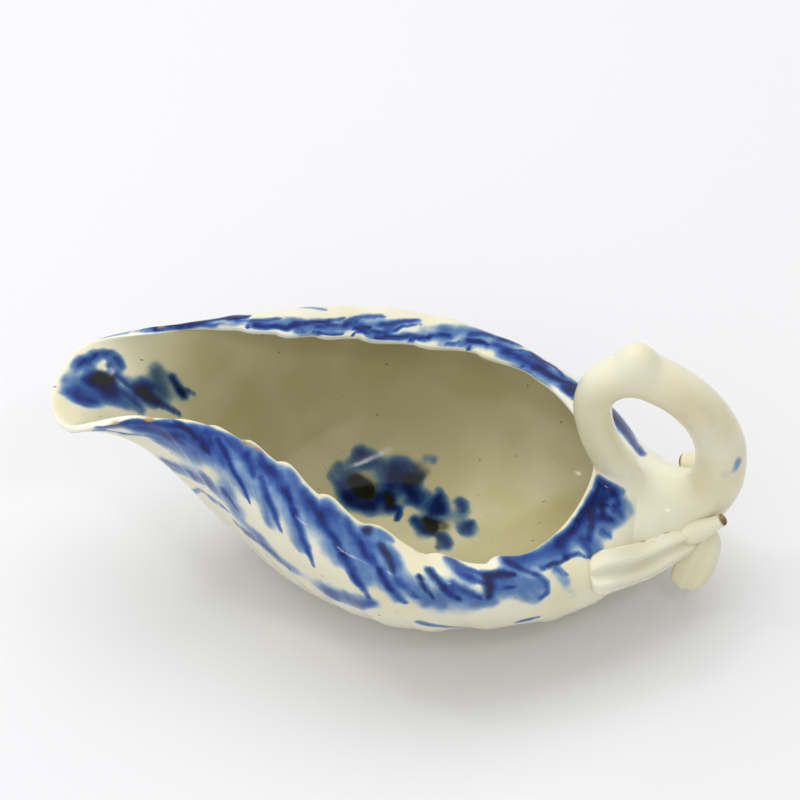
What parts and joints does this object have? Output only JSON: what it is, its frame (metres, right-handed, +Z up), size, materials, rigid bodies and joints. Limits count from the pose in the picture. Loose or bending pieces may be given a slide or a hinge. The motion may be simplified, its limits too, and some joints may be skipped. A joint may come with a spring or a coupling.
{
  "type": "leaf sauceboat",
  "caption": "Leaf-shaped porcelain sauceboat with folded sides, a long swan-neck lip, an oval foot and a curled stalk handle.",
  "frame": {"origin": "middle of the object's box on the surface that the foot ring stands on", "axes": "+Z up, +X along the boat from its lip to its handle, +Y across it"},
  "size_m": [0.1876, 0.1008, 0.088],
  "materials": {
    "painted_glaze": "gloss",
    "plain_glaze": "gloss",
    "bud": "gloss"
  },
  "bodies": {
    "root": {"body_half_left": "painted_glaze", "body_half_right": "painted_glaze", "foot_ring": "plain_glaze", "stalk": "plain_glaze", "handle_loop": "plain_glaze", "strap_leaf": "plain_glaze", "hanging_leaf": "plain_glaze", "bud_near": "bud", "bud_far": "bud"}
  },
  "joints": []
}
